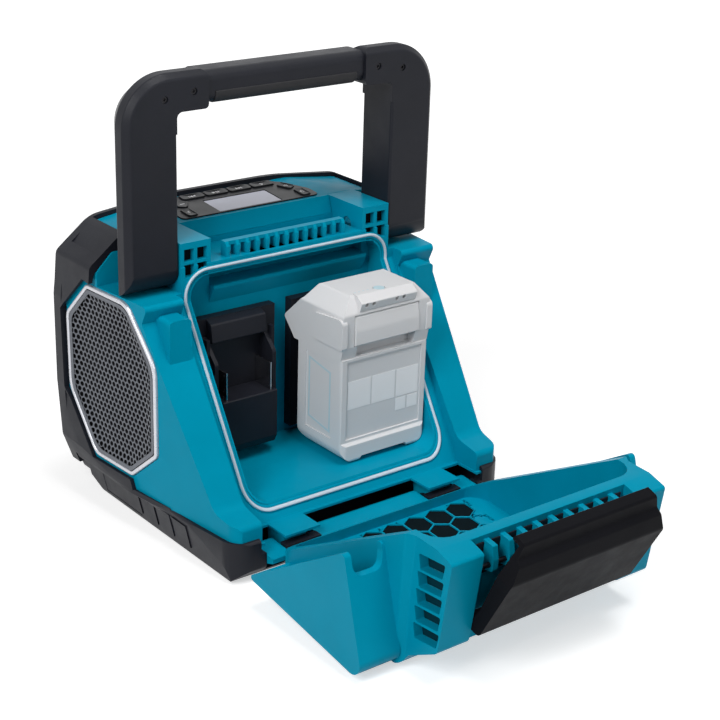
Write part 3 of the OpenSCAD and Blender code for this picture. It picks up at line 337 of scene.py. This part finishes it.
def grille(node, outline, place, pitch, bar, edge, deep):
    """Staggered round holes pressed in a dished sheet; place(u, v, out) gives a point in the frame.

    The sheet lies at edge along its outline and at deep in the middle.
    """
    loop = rounded(outline)
    bm = bmesh.new()
    seen = {}

    def lift(p):
        run = min(1.0, max(0.0, edge_distance(p, loop)) / DISH_RUN)
        return edge + (deep - edge) * (run * run * (3 - 2 * run))

    def vert(p):
        key = (round(p.x, 3), round(p.y, 3))
        if key not in seen:
            seen[key] = bm.verts.new(place(p.x, p.y, lift(p)))
        return seen[key]

    low = Vector((min(p.x for p in loop), min(p.y for p in loop)))
    high = Vector((max(p.x for p in loop), max(p.y for p in loop)))
    reach = pitch / math.sqrt(3)
    hole = (pitch - bar) / 2
    for j in range(int((high.y - low.y) / (pitch * ROW_STEP)) + 1):
        for i in range(int((high.x - low.x) / pitch) + 1):
            centre = Vector((low.x + (i + (j % 2) / 2) * pitch, low.y + j * pitch * ROW_STEP))
            if edge_distance(centre, loop) < reach + 0.2:
                continue
            outer, inner = [], []
            for k in range(HOLE_SIDES):
                w = math.radians(360 / HOLE_SIDES * k)
                ray = Vector((math.cos(w), math.sin(w)))
                outer.append(vert(centre + ray * (reach if k % 2 else pitch / 2)))
                inner.append(vert(centre + ray * hole))
            for k in range(HOLE_SIDES):
                m = (k + 1) % HOLE_SIDES
                bm.faces.new((outer[k], outer[m], inner[m], inner[k]))
    # Plain border, lapped just over the rim of the holes
    rim_out = [bm.verts.new(place(p.x, p.y, edge + RIM_LAP)) for p in loop]
    inside = rounded(inset(outline, RIM_W))
    rim_in = [bm.verts.new(place(p.x, p.y, lift(p) + RIM_LAP)) for p in inside]
    for i in range(len(rim_out)):
        k = (i + 1) % len(rim_out)
        bm.faces.new((rim_out[i], rim_out[k], rim_in[k], rim_in[i]))
    obj = finish_piece(bm, node + "_mesh", MESH, body_of_node[node])
    thick = obj.modifiers.new("sheet", "SOLIDIFY")
    thick.thickness = SHEET_THICK * MM
    thick.offset = 0.0
    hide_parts(node)
    # Cloth behind the holes
    cloth = rounded(inset(outline, CLOTH_IN))
    front = [place(p.x, p.y, CLOTH_FRONT) for p in cloth]
    push = place(0, 0, CLOTH_BACK) - place(0, 0, CLOTH_FRONT)
    plates(node + "_cloth", [front], push, BACKING, body_of_node[node])
    # Its turned-up hem, inside the ring
    hem, top = rounded(inset(outline, HEM_IN)), max(edge - 0.35, -0.2)
    bm = bmesh.new()
    for p, q in zip(hem, hem[1:] + hem[:1]):
        corners = ((p, CLOTH_FRONT), (q, CLOTH_FRONT), (q, top), (p, top))
        bm.faces.new([bm.verts.new(place(c.x, c.y, out)) for c, out in corners])
    bmesh.ops.remove_doubles(bm, verts=bm.verts, dist=SLIVER)
    wall = finish_piece(bm, node + "_hem", BACKING, body_of_node[node])
    cloth_skin = wall.modifiers.new("cloth", "SOLIDIFY")
    cloth_skin.thickness = HEM_THICK * MM
    cloth_skin.offset = 0.0


SIDE_RING = [(16, 38.5, 6), (58, 40, 12), (86.5, 82, 24), (87.4, 136, 10), (63, 161.8, 5), (18, 160.8, 16),
             (-11.5, 124, 24), (-11.5, 61.5, 6)]
SIDE_HALF, FLARE_TAN = 120.0, 0.1
FLARE = math.atan(FLARE_TAN)
SEAT, LEAST_R = 0.9, 0.6


def side_place(sign):
    def place(u, v, out):
        x = SEAT - out
        wx = -SIDE_HALF + x * math.cos(FLARE) - u * math.sin(FLARE)
        wy = x * math.sin(FLARE) + u * math.cos(FLARE)
        return Vector((-sign * wx, wy, v)) * MM
    return place


def shrunk(outline, e):
    """An outline moved inward by e, with its corner radii cut by as much."""
    return [(x, y, max(LEAST_R, r - e)) for x, y, r in inset(outline, e)]


# Section of the side rings: distance in from the outline, and height
TRIM_SECTION = [(0.2, -0.5), (0.2, 2.2), (0.5, 2.7), (1.0, 2.95), (1.6, 3.02), (2.2, 2.95), (2.7, 2.7),
                (3.0, 2.2), (3.0, -0.5)]
SIDE_GRILLE_IN = 3.4
for side, sign in (("left", -1), ("right", 1)):
    place = side_place(sign)
    grille("side_grille_" + side, inset(SIDE_RING, SIDE_GRILLE_IN), place,
           pitch=4.3, bar=0.8, edge=2.2, deep=0.15)
    section = [([place(p.x, p.y, out) for p in rounded(shrunk(SIDE_RING, e))], 0)
               for e, out in TRIM_SECTION]
    swept_ring("side_trim_" + side + "_ring", "side_trim_" + side, section, [SILVER])

FACE = [(-121, 24, 0), (121, 24, 0), (127.5, 42, 8), (130, 84, 20), (130, 146, 12), (127, 170, 6),
        (113, 184, 4), (-113, 184, 4), (-127, 170, 6), (-130, 146, 12), (-130, 84, 20), (-127.5, 42, 8)]
FRONT_Y, FRONT_TRIM_IN, FRONT_GRILLE_IN = 89.6, 5, 4.2


def front_place(u, v, out):
    return Vector((u, FRONT_Y + out, v)) * MM


grille("front_grille", inset(inset(FACE, FRONT_TRIM_IN), FRONT_GRILLE_IN), front_place,
       pitch=5.2, bar=1.4, edge=0.3, deep=2.4)


# Compartment seal: a pale bead between two lips of the sealing face

# Half width, lower and upper edge and corner radius of the seal
SEAL_BOX = (85.5, 30.0, 178.0, 19.0)
SEAL_Y, SEAL_KNEE, SEAL_TAN = 10.0, 156.0, 79.6 / 130.4
# Distance in from the outline, height, and 0 for the bead or 1 for a lip
SEAL_SECTION = [(0.0, -0.4, 1), (0.0, 0.4, 1), (0.5, 0.5, 1), (0.75, 0.3, 0), (0.9, 0.9, 0), (1.3, 1.3, 0),
                (1.8, 1.45, 0), (2.3, 1.3, 0), (2.7, 0.9, 0), (2.85, 0.3, 1), (3.1, 0.5, 1), (4.5, 0.4, 1),
                (4.5, -0.4, 1)]
SEAL_ARC_STEPS = 10


def seal_loop(e, out):
    half, low, high, r = SEAL_BOX
    r -= e
    corners = [(-half + e, low + e, r), (half - e, low + e, r),
               (half - e, high - e, r), (-half + e, high - e, r)]
    flat = rounded(corners, SEAL_ARC_STEPS)
    points = []
    for i, p in enumerate(flat):
        q = flat[(i + 1) % len(flat)]
        points.append(p)
        if (p.y - SEAL_KNEE) * (q.y - SEAL_KNEE) < 0:
            points.append(p + (q - p) * ((SEAL_KNEE - p.y) / (q.y - p.y)))
    return [Vector((p.x, SEAL_Y - max(SEAL_KNEE - p.y, 0) * SEAL_TAN - out, p.y)) * MM for p in points]


swept_ring("compartment_gasket_bead", "compartment_gasket",
           [(seal_loop(e, out), which) for e, out, which in SEAL_SECTION], [SEAL, TEAL])


# Painted shade: dark plates laid in the deep pockets and in the cells of the honeycomb on the floor of the
# door, and the honeycomb's ribs

HINGE_Y, HINGE_Z, DOOR_OPEN = -79.0, 12.0, 93.0


def door_point(x, y, z):
    """A point given with the door shut, carried to where the door stands open."""
    c, s = math.cos(math.radians(DOOR_OPEN)), math.sin(math.radians(DOOR_OPEN))
    dy, dz = y - HINGE_Y, z - HINGE_Z
    return Vector((x, HINGE_Y + c * dy - s * dz, HINGE_Z + s * dy + c * dz)) * MM


POCKET_X, POCKET_Z, POCKET_Y = 66.0, 183.0, 15.0
POCKET_STEP_X, POCKET_STEP_Z = 10, 10.5
POCKET_CORNERS = ((0.1, 0.1), (7.4, 0.1), (7.4, 8.4), (0.1, 8.4))
LADDER_X, LADDER_STEP, LADDER_COUNT = 80.0, 11.4, 5
LADDER_CORNERS = ((-56.7, 167.8), (-47.7, 165.4), (-44.8, 187.2), (-53.7, 185.8))
PLATE_THICK = 0.0003

pockets = []
for sign in (-1, 1):
    for i in range(2):
        for j in range(2):
            x, z = POCKET_X + i * POCKET_STEP_X, POCKET_Z - j * POCKET_STEP_Z
            pockets.append([Vector((sign * (x + a), POCKET_Y, z + b)) * MM for a, b in POCKET_CORNERS])
# Painted shade: near-black plates laid in the boss pockets
plates("boss_pocket_shade", pockets, Vector((0, PLATE_THICK, 0)), RECESS_SHADE, "speaker_body")

# Painted shade: dark teal plates laid in the ladder pockets of the door
for side, sign in (("left", -1), ("right", 1)):
    ladder = [[door_point(sign * LADDER_X, y + i * LADDER_STEP, z) for y, z in LADDER_CORNERS]
              for i in range(LADDER_COUNT)]
    plates("ladder_pocket_shade_" + side, ladder, Vector((sign * -PLATE_THICK, 0, 0)), SHADE,
           "battery_door")

CELL, RIB_W = 10.6, 0.65
CELL_ROWS, CELL_Z = 3, 47.5
HEX_WIDTH, HEX_ROW = 1.732, 1.5
CELL_RISE, RIB_RISE = 0.08, 0.22
TRAY_Y, TRAY_Z, TRAY_SLOPE = -73.5, 31.8, 3 / 128.2
HEXAGON = [(math.cos(math.radians(30 + 60 * k)), math.sin(math.radians(30 + 60 * k))) for k in range(6)]


def floor_point(x, z, rise):
    """A point over the floor of the tray, which slopes a little, given with the door shut."""
    return door_point(x, TRAY_Y - (z - TRAY_Z) * TRAY_SLOPE + rise, z)


cells, ribs = [], []
for j in range(CELL_ROWS):
    for i in range(-3, 4 - j % 2):
        cx, cz = (i + (j % 2) / 2) * CELL * HEX_WIDTH, CELL_Z + j * CELL * HEX_ROW
        cells.append([floor_point(cx + a * CELL, cz + b * CELL, CELL_RISE) for a, b in HEXAGON])
        for (a, b), (c, d) in zip(HEXAGON, HEXAGON[1:] + HEXAGON[:1]):
            thin = CELL - RIB_W
            corners = ((a, b, CELL), (c, d, CELL), (c, d, thin), (a, b, thin))
            ribs.append([floor_point(cx + p * q, cz + w * q, RIB_RISE) for p, w, q in corners])
rise = door_point(0, 1, 0) - door_point(0, 0, 0)
# Painted shade: near-black plates in the honeycomb cells, with teal ribs raised over them
plates("honeycomb_cell_shade", cells, rise * 0.1, RECESS_SHADE, "battery_door")
plates("honeycomb_ribs", ribs, rise * 0.9, TEAL, "battery_door")


# Sides of the base: closed walls with grip pads, and the band that joins them to the guards above

BASE_HALF, BASE_SPREAD, BASE_TOP = 112, 7, 29
WALL_Y, WALL_Z = (-8.0, 69.5), (4.0, 23.4)
PAD_STARTS, PAD_LENGTH, PAD_Z = (-2.0, 18.0), 17.0, (7.0, 23.0)
BAND_STEPS = [-24.0, -10.0, 0.0, 5.0, 10.0, 15.0, 20.0, 30.0, 40.0, 50.0, 60.0, 70.0, 80.0, 87.6]
BAND_GROWS = 44
BAND_LEAST, BAND_MORE, BAND_CLEAR = 0.7, 1.9, 0.4
BAND_FOOT, BAND_LOW, BAND_MID, BAND_HIGH = 20.0, 21.5, 26.0, 29.5


def base_x(z):
    """Half width of the base at height z, in mm."""
    return BASE_HALF + BASE_SPREAD * z / BASE_TOP


def wall_x(y, z):
    """Half width of the housing low on its side: its face in front, its flare further back."""
    (x0, z0, _), (x1, z1, _) = FACE[1], FACE[2]
    return min(x0 + (z - z0) * (x1 - x0) / (z1 - z0), SIDE_HALF + FLARE_TAN * y)


def lofted(name, sections, mat):
    """A closed bar through equal sections, given as loops of points."""
    bm = bmesh.new()
    rings = [[bm.verts.new(p) for p in loop] for loop in sections]
    for a, b in zip(rings, rings[1:]):
        for i in range(len(a)):
            k = (i + 1) % len(a)
            bm.faces.new((a[i], a[k], b[k], b[i]))
    bm.faces.new(rings[0])
    bm.faces.new(rings[-1])
    obj = finish_piece(bm, name, mat, "speaker_body")
    add_bevel(obj, 0.5, 2, 30.0)


def base_panel(sign, ys, zs, deep, proud):
    """Loops of a panel in the slanting side of the base, from deep inside its face to proud of it."""
    low, high = zs
    section = [(base_x(low) - deep, low), (base_x(low) + proud, low),
               (base_x(high) + proud, high), (base_x(high) - deep, high)]
    return [[Vector((sign * x, y, z)) * MM for x, z in section] for y in ys]


def band_section(sign, y):
    """Loop of the band at y, which stands further out towards the front."""
    grow = min(1.0, max(0.0, (y - BAND_STEPS[0]) / BAND_GROWS))
    proud = BAND_LEAST + BAND_MORE * grow
    section = [(115.9, BAND_FOOT), (base_x(BAND_LOW) + BAND_CLEAR, BAND_LOW),
               (wall_x(y, BAND_MID) + proud, BAND_MID), (wall_x(y, BAND_HIGH) + proud, BAND_HIGH),
               (wall_x(y, BAND_HIGH) + BAND_CLEAR, BAND_HIGH), (wall_x(y, 24.2) + BAND_CLEAR, 24.2),
               (116.2, 23.3)]
    return [Vector((sign * x, y, z)) * MM for x, z in section]


for side, sign in (("left", -1), ("right", 1)):
    wall = base_panel(sign, WALL_Y, WALL_Z, deep=3.0, proud=-0.2)
    lofted("base_wall_" + side, wall, BLACK)
    for i, y in enumerate(PAD_STARTS):
        pad = base_panel(sign, (y, y + PAD_LENGTH), PAD_Z, deep=0.5, proud=0.8)
        lofted("base_pad_%s_%d" % (side, i), pad, BLACK)
    lofted("base_band_" + side, [band_section(sign, y) for y in BAND_STEPS], BLACK)


# Blank fields of the pack's label, its gauge bars, and painted shade for the holes in its front edge: dark
# discs on its surface

PACK_X, LABEL_Y = 41, -45.04
EDGE_HOLES, EDGE_HOLE_R, EDGE_HOLE_Y, EDGE_HOLE_Z = (-19, -13, 7, 13), 1.3, -45.56, 150.4
TWELFTH = 0.524
GAUGE_X, GAUGE_STEP, GAUGE_Z = 19, 3.6, 156.02
GAUGE_BAR = ((0, -39.6), (1.9, -39.6), (2.6, -36.2), (0.7, -36.2))
SIDE_X = 4.26
SIDE_FRAME_OUT = [(-33.5, 56), (-8.5, 60.5), (-8.5, 105.5), (-33.5, 101)]
SIDE_FRAME_IN = [(-32.0, 57.8), (-10.0, 61.8), (-10.0, 103.7), (-32.0, 99.7)]


def field(x0, z0, x1, z1):
    return [Vector((PACK_X + x, LABEL_Y, z)) * MM for x, z in ((x0, z0), (x1, z0), (x1, z1), (x0, z1))]


outward = Vector((0, -0.00012, 0))
plates("pack_label_fields", [field(-30.8, 75.6, -11.2, 96.2), field(-9.8, 75.6, 10.2, 96.2),
                             field(11.6, 75.6, 30.8, 96.2), field(11.6, 65.2, 20.5, 74.4),
                             field(21.9, 65.2, 30.8, 74.4)],
       outward, PACK_LIGHT, "battery_pack")
# Painted shade: dark discs stand for the holes in the front edge
holes = [[Vector((PACK_X + x + EDGE_HOLE_R * math.cos(w * TWELFTH), EDGE_HOLE_Y,
                  EDGE_HOLE_Z + EDGE_HOLE_R * math.sin(w * TWELFTH))) * MM for w in range(12)]
         for x in EDGE_HOLES]
plates("pack_edge_hole_shade", holes, outward, PACK_HOLE_SHADE, "battery_pack")
gauge = [[Vector((GAUGE_X + GAUGE_STEP * i + a, b, GAUGE_Z)) * MM for a, b in GAUGE_BAR] for i in range(4)]
plates("pack_gauge_bars", gauge, Vector((0, 0, 0.00008)), PACK_TINT, "battery_pack")
sides = []
for i in range(4):
    k = (i + 1) % 4
    corners = (SIDE_FRAME_OUT[i], SIDE_FRAME_OUT[k], SIDE_FRAME_IN[k], SIDE_FRAME_IN[i])
    sides.append([Vector((SIDE_X, *p)) * MM for p in corners])
plates("pack_side_frame", sides, Vector((-0.00008, 0, 0)), PACK_TINT, "battery_pack")


# Printed marks, laid on the surface of what carries them

def surface_of(node):
    data = nodes[node].data
    places = [v.co.copy() for v in data.vertices]
    return BVHTree.FromPolygons(places, [tuple(p.vertices) for p in data.polygons])


RAY_START, RAY_REACH, MARK_CLEAR = 0.006, 0.02, 0.00003


def lay(name, node, loops, origin, u, v, mat, thick):
    """Lays flat shapes (loops of (x, y) in mm about origin, along u and v) on a node's surface."""
    n = u.cross(v).normalized()
    tree = surface_of(node)
    bm = bmesh.new()
    for loop in loops:
        top = []
        for x, y in loop:
            p = origin + (u * x + v * y) * MM
            hit = tree.ray_cast(p + n * RAY_START, -n, RAY_REACH)[0]
            p = hit if hit is not None else p
            top.append(p + n * MARK_CLEAR)
        low = [bm.verts.new(p) for p in top]
        high = [bm.verts.new(p + n * thick * MM) for p in top]
        bm.faces.new(low[::-1])
        bm.faces.new(high)
        for i in range(len(low)):
            k = (i + 1) % len(low)
            bm.faces.new((low[i], low[k], high[k], high[i]))
    finish_piece(bm, name, mat, body_of_node[node])


def bar(x0, y0, x1, y1):
    return [(x0, y0), (x1, y0), (x1, y1), (x0, y1)]


def on_circle(r, angle, cx, cy):
    return (cx + r * math.cos(angle), cy + r * math.sin(angle))


def arc(r0, r1, a0, a1, steps=20, cx=0.0, cy=0.0):
    angles = [math.radians(a0 + (a1 - a0) * i / steps) for i in range(steps + 1)]
    outer = [on_circle(r1, w, cx, cy) for w in angles]
    inner = [on_circle(r0, w, cx, cy) for w in angles]
    return outer + inner[::-1]


def disc(r, cx=0.0, cy=0.0, steps=20):
    return [on_circle(r, 2 * math.pi * i / steps, cx, cy) for i in range(steps)]


def flip(loops):
    return [[(-x, y) for x, y in loop][::-1] for loop in loops]


SKIP = [[(-2.6, -1.3), (-0.5, 0), (-2.6, 1.3)], [(-0.3, -1.3), (1.8, 0), (-0.3, 1.3)],
        bar(2.0, -1.3, 2.5, 1.3)]
ICONS = {
    "key_previous": flip(SKIP), "key_next": SKIP,
    "key_play": [[(-2.7, -1.4), (-0.3, 0), (-2.7, 1.4)], bar(0.5, -1.4, 1.15, 1.4),
                 bar(1.9, -1.4, 2.55, 1.4)],
    "key_volume_up": [bar(-1.8, -0.32, -0.32, 0.32), bar(-0.32, -1.8, 0.32, 1.8),
                      bar(0.32, -0.32, 1.8, 0.32)],
    "key_volume_down": [bar(-1.8, -0.32, 1.8, 0.32)],
    "key_power": [arc(1.25, 1.7, 125, 415), bar(-0.25, 0.4, 0.25, 2.1)],
    "key_pairing": [disc(0.55, 0, -1.1), arc(1.15, 1.5, 45, 135, 10, 0, -1.1),
                    arc(2.1, 2.45, 45, 135, 10, 0, -1.1)],
    "key_tone": [bar(-1.6, -1.2, -0.9, 0.3), bar(-0.35, -1.2, 0.35, 1.3), bar(0.9, -1.2, 1.6, 0.8)],
}
KEYPAD_TILT, ICON_THICK = 5.0, 0.05
tilt = math.radians(KEYPAD_TILT)
across, along = Vector((1, 0, 0)), Vector((0, math.cos(tilt), math.sin(tilt)))
for key in KEY_NODES:
    low, high = (Vector(c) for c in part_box(key))
    lay(key + "_icon", key, ICONS[key], (low + high) / 2, across, along, PRINT, ICON_THICK)


# Studio

CAMERA_PLACE = Vector((-0.6316, -0.8592, 0.5294))
CAMERA_FORWARD, CAMERA_RIGHT = Vector((0.5798, 0.7245, -0.3728)), Vector((0.7876, -0.6155, 0.0287))
CAMERA_LENS, CAMERA_SENSOR = 83.13, 36.0
FLOOR_HALF, FLOOR_STEPS, FLOOR_Z = 6.0, 24, -0.0004
FLOOR_FADE = (("From Min", 0.5), ("From Max", 1.8), ("To Min", 0.55), ("To Max", 1.0))
WORLD_LIGHT, WORLD_SEEN = 0.14, 1.0
AIM = Vector((0, -0.05, 0.12))


def make_camera():
    data = bpy.data.cameras.new("photo_camera")
    data.sensor_width = CAMERA_SENSOR
    data.lens = CAMERA_LENS
    data.clip_start = 0.01
    data.clip_end = 50
    cam = bpy.data.objects.new("photo_camera", data)
    bpy.context.collection.objects.link(cam)
    forward = CAMERA_FORWARD.normalized()
    up = CAMERA_RIGHT.normalized().cross(forward).normalized()
    right = forward.cross(up).normalized()
    rot = Matrix((right, up, -forward)).transposed()
    cam.matrix_world = Matrix.Translation(CAMERA_PLACE) @ rot.to_4x4()
    bpy.context.scene.camera = cam


def area_light(name, place, size, power):
    data = bpy.data.lights.new(name, "AREA")
    data.shape = "RECTANGLE"
    data.size, data.size_y = size
    data.energy = power
    lamp = bpy.data.objects.new(name, data)
    bpy.context.collection.objects.link(lamp)
    lamp.location = place
    lamp.rotation_euler = (AIM - Vector(place)).to_track_quat("-Z", "Y").to_euler()


def seen_rays(tree):
    """1 for what the camera sees, directly or in a reflection, and 0 for light that falls on the object."""
    path = tree.nodes.new("ShaderNodeLightPath")
    mirrored = tree.nodes.new("ShaderNodeMath")
    mirrored.operation = "MAXIMUM"
    either = tree.nodes.new("ShaderNodeMath")
    either.operation = "MAXIMUM"
    tree.links.new(path.outputs["Is Glossy Ray"], mirrored.inputs[0])
    tree.links.new(path.outputs["Is Transmission Ray"], mirrored.inputs[1])
    tree.links.new(path.outputs["Is Camera Ray"], either.inputs[0])
    tree.links.new(mirrored.outputs[0], either.inputs[1])
    return either.outputs[0]


def make_floor():
    bm = bmesh.new()
    lines = [-FLOOR_HALF + 2 * FLOOR_HALF * i / FLOOR_STEPS for i in range(FLOOR_STEPS + 1)]
    grid = [[bm.verts.new((x, y, 0.0)) for y in lines] for x in lines]
    for a, b in zip(grid, grid[1:]):
        for j in range(FLOOR_STEPS):
            bm.faces.new((a[j], b[j], b[j + 1], a[j + 1]))
    mesh = bpy.data.meshes.new("studio_floor")
    bm.to_mesh(mesh)
    bm.free()
    floor = bpy.data.objects.new("studio_floor", mesh)
    bpy.context.collection.objects.link(floor)
    floor.location.z = FLOOR_Z
    mat, tree, shader, coord = new_material("studio_floor")
    cloud = noise(tree, coord, 3.0, 2.0)
    tint = ramp(tree, cloud.outputs["Fac"], [(0.3, grey(0.72)), (0.7, grey(0.75))])
    tree.links.new(tint.outputs["Color"], shader.inputs["Base Color"])
    shader.inputs["Roughness"].default_value = 0.9
    shader.inputs["Specular IOR Level"].default_value = 0.0
    # Lifts the floor to white where the camera sees it, more so far off, and leaves its shadow
    far_off = tree.nodes.new("ShaderNodeVectorMath")
    far_off.operation = "LENGTH"
    tree.links.new(coord.outputs["Object"], far_off.inputs[0])
    fade = tree.nodes.new("ShaderNodeMapRange")
    for label, value in FLOOR_FADE:
        fade.inputs[label].default_value = value
    tree.links.new(far_off.outputs["Value"], fade.inputs["Value"])
    lifted = tree.nodes.new("ShaderNodeMath")
    lifted.operation = "MULTIPLY"
    tree.links.new(fade.outputs["Result"], lifted.inputs[1])
    tree.links.new(seen_rays(tree), lifted.inputs[0])
    tree.links.new(lifted.outputs[0], shader.inputs["Emission Strength"])
    shader.inputs["Emission Color"].default_value = (1, 1, 1, 1)
    mesh.materials.append(mat)


def make_world():
    """White to the camera and in reflections, a dim grey as light on the object."""
    world = bpy.data.worlds.new("studio")
    world.use_nodes = True
    tree = world.node_tree
    soft = tree.nodes["Background"]
    soft.inputs["Color"].default_value = (1, 1, 1, 1)
    soft.inputs["Strength"].default_value = WORLD_LIGHT
    seen = tree.nodes.new("ShaderNodeBackground")
    seen.inputs["Color"].default_value = (1, 1, 1, 1)
    seen.inputs["Strength"].default_value = WORLD_SEEN
    mix = tree.nodes.new("ShaderNodeMixShader")
    tree.links.new(seen_rays(tree), mix.inputs["Fac"])
    tree.links.new(soft.outputs[0], mix.inputs[1])
    tree.links.new(seen.outputs[0], mix.inputs[2])
    tree.links.new(mix.outputs[0], tree.nodes["World Output"].inputs["Surface"])
    return world


def make_studio():
    scene = bpy.context.scene
    scene.view_settings.view_transform = "Standard"
    scene.world = make_world()
    make_floor()
    area_light("key_light", (-1.8, -0.75, 1.55), (1.1, 1.1), 36)
    area_light("top_light", (0.2, -0.6, 2.3), (1.1, 0.9), 26)
    area_light("fill_light", (0.8, -2.2, 1.2), (1.2, 0.8), 7)
    make_camera()


make_studio()
